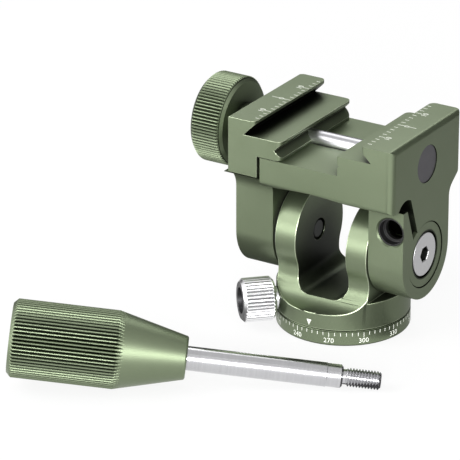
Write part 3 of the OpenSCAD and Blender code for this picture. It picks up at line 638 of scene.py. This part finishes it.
def makePointer():
    v = pointer
    left, right = [], []
    for i in range(v["rows"] + 1):
        t = i / v["rows"]
        z = v["top"] + (v["tip"] - v["top"]) * t
        half = max(v["width"] / 2 * (1 - t), v["blunt"])
        left.append((-half, z))
        right.append((half, z))
    outline = left + right[::-1]
    middle = math.radians(v["angle"])
    points = [(r * math.cos(middle + x / baseRadius), r * math.sin(middle + x / baseRadius), z)
              for r in (baseRadius - degreeScale["sunk"], baseRadius + degreeScale["proud"]) for x, z in outline]
    n = len(outline)
    faces = [(i, (i + 1) % n, n + (i + 1) % n, n + i) for i in range(n)]
    for i in range(n // 2 - 1):
        faces.append((i, i + 1, n - 2 - i, n - 1 - i))
        faces.append((n + i, n + i + 1, 2 * n - 2 - i, 2 * n - 1 - i))
    fixed("pointer", settled(meshFrom("pointer", points, faces)), "fork", white)


makePointer()


# Mesh turned about the handle's axis: the rings' places along it, and each ring's radii all the way round
def turnedMesh(name, places, radii):
    across = handleWay.orthogonal().normalized()
    up = handleWay.cross(across)
    n = len(radii[0])
    points = []
    for place, ring in zip(places, radii):
        for k, radius in enumerate(ring):
            a = 2 * math.pi * k / n
            points.append(tuple(handleStart + handleWay * place + (across * math.cos(a) + up * math.sin(a)) * radius))
    faces = [(i * n + k, i * n + (k + 1) % n, (i + 1) * n + (k + 1) % n, (i + 1) * n + k)
             for i in range(len(places) - 1) for k in range(n)]
    lastRing, startCap = len(points) - n, len(points)
    points += [tuple(handleStart + handleWay * place) for place in (places[0], places[-1])]
    faces += [(startCap, (k + 1) % n, k) for k in range(n)]
    faces += [(startCap + 1, lastRing + k, lastRing + (k + 1) % n) for k in range(n)]
    return meshFrom(name, points, faces)


# Handle rod: the radius of its stud follows the turn as well, which makes a helical thread
handleRod = {"radius": 3.25 * mm, "collar": 3.13 * mm, "collarStart": 55.3 * mm, "collarEase": 0.12 * mm,
             "rodEnd": 59.5 * mm, "chamfer": 0.5 * mm, "core": 2.02 * mm, "neckExtra": 0.08 * mm,
             "neckEase": 0.05 * mm, "crest": 2.5 * mm, "pitch": 0.8 * mm, "threadStart": 60.3 * mm,
             "toothTop": 1.35, "toothSlope": 3.1, "fadeTurns": 0.9, "tip": 0.55 * mm, "tipSlope": 1.1,
             "ringsPerTurn": 18, "round": 72}


def threadRadius(place, turn):
    v = handleRod
    done = place - v["threadStart"]
    phase = (done / v["pitch"] + turn) % 1
    tooth = min(max(v["toothTop"] - v["toothSlope"] * abs(phase - 0.5), 0), 1)
    fade = min(done / (v["fadeTurns"] * v["pitch"]), 1)
    pastTip = max(place - (handleLength - v["tip"]), 0)
    return min(v["core"] + (v["crest"] - v["core"]) * tooth * fade, v["crest"] - pastTip * v["tipSlope"])


def makeHandleRod():
    v = handleRod
    rings = [(0.0, v["radius"] - v["chamfer"]), (v["chamfer"], v["radius"]),
             (v["collarStart"] - v["collarEase"], v["radius"]), (v["collarStart"], v["collar"]),
             (v["rodEnd"] - v["chamfer"], v["collar"]), (v["rodEnd"], v["collar"] - v["chamfer"]),
             (v["rodEnd"], v["core"] + v["neckExtra"]), (v["rodEnd"] + v["neckEase"], v["core"])]
    places = [place for place, _ in rings]
    radii = [[radius] * v["round"] for _, radius in rings]
    length = handleLength - v["threadStart"]
    total = round(length / v["pitch"] * v["ringsPerTurn"])
    for i in range(total + 1):
        places.append(v["threadStart"] + length * i / total)
        radii.append([threadRadius(places[-1], k / v["round"]) for k in range(v["round"])])
    mesh = settled(turnedMesh("handleRod", places, radii), smooth=True)
    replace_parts(fixed("handleRod", mesh, "handle", handleSteel), "handle_rod")


# Handle grip: straight grooves round a cylinder, which run out in points on the cone
handleGrip = {"start": -29 * mm, "radius": 10.5 * mm, "groove": 0.5 * mm, "land": 0.12 * mm, "count": 64, "samples": 8,
              "chamfer": 1.2 * mm, "chamferRings": 5, "corner": 28.2 * mm, "end": 47 * mm, "neck": 5.75 * mm,
              "round": 0.7 * mm, "roundRings": 6, "hole": 3.27 * mm, "holeDepth": 18.05 * mm, "step": 0.25 * mm,
              "darkFrom": 0.45}


def makeHandleGrip():
    v = handleGrip
    slope = (v["radius"] - v["neck"]) / (v["end"] - v["corner"])
    rings = []
    for i in range(v["chamferRings"] + 1):
        t = i / v["chamferRings"]
        rings.append((v["chamfer"] * t, v["radius"] - v["chamfer"] * (1 - t)))
    rings += [(v["chamfer"] + v["step"], v["radius"]), (v["corner"] - v["step"], v["radius"])]
    runOut = math.ceil((v["groove"] / slope + v["step"]) / v["step"])
    rings += [(v["corner"] + i * v["step"], v["radius"] - i * v["step"] * slope) for i in range(runOut + 1)]
    for i in range(v["roundRings"] + 1):
        a = math.pi / 2 * i / v["roundRings"]
        rings.append((v["end"] - v["round"] * (1 - math.sin(a)), v["neck"] + v["round"] * (slope - 1 + math.cos(a))))
    rings += [(v["end"], v["hole"]), (v["end"] - v["holeDepth"], v["hole"])]
    profile = [v["radius"] + v["land"] - (v["groove"] + v["land"]) * (1 - abs(2 * k / v["samples"] - 1))
               for k in range(v["samples"])]
    radii = [[min(r, edge) for edge in profile * v["count"]] for _, r in rings]
    cut = [r - radius for (_, r), ring in zip(rings, radii) for radius in ring]
    mesh = turnedMesh("handleGrip", [v["start"] + place for place, _ in rings], radii)
    # Faces deep in a groove take the painted shade material
    mesh.materials.append(green)
    mesh.materials.append(greenGroove)
    for polygon in mesh.polygons:
        depths = [cut[i] for i in polygon.vertices if i < len(cut)]
        polygon.material_index = 1 if sum(depths) / len(depths) > v["groove"] * v["darkFrom"] else 0
    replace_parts(fixed("handleGrip", settled(mesh, smooth=True), "handle"), "handle_grip")


makeHandleRod()
makeHandleGrip()
print("handle made")


stage = {"floor": 3.0, "floorDrop": 0.06 * mm, "floorLevel": 0.9, "floorShade": 0.16, "world": 0.5,
         "flagLevel": 0.02, "lampsAt": (0, 0, 0.03)}


def rectangle(name, width, height):
    w, h = width / 2, height / 2
    return meshFrom(name, [(-w, -h, 0), (w, -h, 0), (w, h, 0), (-w, h, 0)], [(0, 1, 2, 3)])


# The floor and the world are white for every ray that shows them, and dimmer as lights
def makeFloor():
    mesh = rectangle("floor", stage["floor"], stage["floor"])
    floor = bpy.data.objects.new("floor", mesh)
    floor.location.z = -stage["floorDrop"]
    bpy.context.scene.collection.objects.link(floor)
    s = Shader("floorPale")
    diffuse = s.node("ShaderNodeBsdfDiffuse", None, {"Color": (stage["floorLevel"],) * 3})
    glow = s.node("ShaderNodeEmission", None, {"Color": (1, 1, 1), "Strength": 1.0})
    share = s.seenRays() * (1 - stage["floorShade"])
    mesh.materials.append(s.finish(s.node("ShaderNodeMixShader", None, {0: share, 1: diffuse, 2: glow})))


def makeWorld():
    world = bpy.data.worlds.new("studio")
    bpy.context.scene.world = world
    world.use_nodes = True
    w = NodeMaker(world.node_tree)
    w.tree.nodes.clear()
    level = w.node("ShaderNodeMapRange", None, {"Value": w.seenRays(), "To Min": stage["world"], "To Max": 1.0})
    back = w.node("ShaderNodeBackground", None, {"Color": (1, 1, 1), "Strength": level})
    w.node("ShaderNodeOutputWorld", None, {0: back})


def aim(item, target):
    item.rotation_euler = (Vector(target) - item.location).to_track_quat("-Z", "Y").to_euler()


lamps = {
    "keyLeft": {"at": (-0.42, -0.42, 0.48), "size": (0.4, 0.4), "power": 2.4},
    "lowLeft": {"at": (-0.36, -0.6, 0.12), "size": (0.45, 0.2), "power": 2.0},
    "frontFill": {"at": (0.35, -0.75, 0.3), "size": (0.3, 0.2), "power": 5.2},
    "coneSide": {"at": (0.46, -0.3, 0.16), "size": (0.12, 0.16), "power": 1.2},
    "topBack": {"at": (-0.2, 0.36, 0.5), "size": (0.4, 0.3), "power": 1.0},
}
flags = {
    "rightFlag": {"at": (0.28, 0.06, 0.08), "size": (0.3, 0.24), "to": (0, 0.06, 0.08), "cover": 1.0},
    "backFlag": {"at": (0.0, 0.26, 0.09), "size": (0.6, 0.22), "to": (0, 0, 0.09), "cover": 1.0},
    "highFlag": {"at": (0.15, 0.26, 0.38), "size": (0.3, 0.36), "to": (0.15, 0, 0.38), "cover": 1.0},
    "gapFlag": {"at": (0.2, -0.3, 0.39), "size": (0.5, 0.02), "to": (-0.02, -0.07, 0.0), "cover": 1.0},
    "screwFlag": {"at": (-0.24, -0.39, 0.25), "size": (0.3, 0.02), "to": (0, 0, 0.05), "cover": 1.0},
    "overFlag": {"at": (-0.05, 0.035, 0.4), "size": (0.8, 0.47), "to": (-0.05, 0.035, 0), "cover": 0.25},
    "leftFlag": {"at": (-0.26, 0.16, 0.07), "size": (0.26, 0.2), "to": (0, 0.1, 0.07), "cover": 1.0},
    "floorFlag": {"at": (0.0, 0.146, -0.00002), "size": (0.6, 0.3), "to": (0, 0.146, 1), "cover": 0.5},
    "floorLeft": {"at": (-0.1, -0.018, -0.00004), "size": (0.16, 0.05), "to": (-0.1, -0.018, 1), "cover": 0.9},
    "floorRight": {"at": (0.1, -0.02, -0.00004), "size": (0.16, 0.04), "to": (0.1, -0.02, 1), "cover": 0.9},
}


def makeLamps():
    for name, values in lamps.items():
        light = bpy.data.lights.new(name, "AREA")
        light.shape = "RECTANGLE"
        light.size, light.size_y = values["size"]
        light.energy = values["power"]
        lamp = bpy.data.objects.new(name, light)
        lamp.location = values["at"]
        aim(lamp, stage["lampsAt"])
        bpy.context.scene.collection.objects.link(lamp)


# Dark cards that only mirrored and refracted rays see give the metal something dark to reflect
def makeFlags():
    for name, values in flags.items():
        s = Shader(name + "Cloth")
        cloth = s.node("ShaderNodeBsdfDiffuse", None, {"Color": (stage["flagLevel"],) * 3})
        clear = s.node("ShaderNodeBsdfTransparent")
        mesh = rectangle(name, *values["size"])
        mesh.materials.append(s.finish(
            s.node("ShaderNodeMixShader", None, {0: values["cover"], 1: clear, 2: cloth})))
        card = bpy.data.objects.new(name, mesh)
        card.location = values["at"]
        aim(card, values["to"])
        card.visible_camera = False
        card.visible_diffuse = False
        card.visible_shadow = False
        bpy.context.scene.collection.objects.link(card)


shot = {"azimuth": 31.81, "elevation": 23.32, "distance": 1.10082, "right": -0.031135, "up": 0.024249,
        "focalPixels": 4000, "imagePixels": 460, "sensor": 36.0, "near": 0.05, "far": 20}


def makeCamera():
    a, e = math.radians(shot["azimuth"]), math.radians(shot["elevation"])
    back = Vector((math.sin(a) * math.cos(e), -math.cos(a) * math.cos(e), math.sin(e)))
    right = Vector((math.cos(a), math.sin(a), 0))
    up = back.cross(right)
    data = bpy.data.cameras.new("camera")
    data.sensor_width = shot["sensor"]
    data.lens = shot["focalPixels"] / shot["imagePixels"] * shot["sensor"]
    data.clip_start, data.clip_end = shot["near"], shot["far"]
    camera = bpy.data.objects.new("camera", data)
    camera.location = back * shot["distance"] + right * shot["right"] + up * shot["up"]
    camera.rotation_euler = Matrix((right, up, back)).transposed().to_euler()
    bpy.context.scene.collection.objects.link(camera)
    bpy.context.scene.camera = camera


makeFloor()
makeWorld()
makeLamps()
makeFlags()
makeCamera()
bpy.context.scene.view_settings.view_transform = "Standard"
print("stage set")
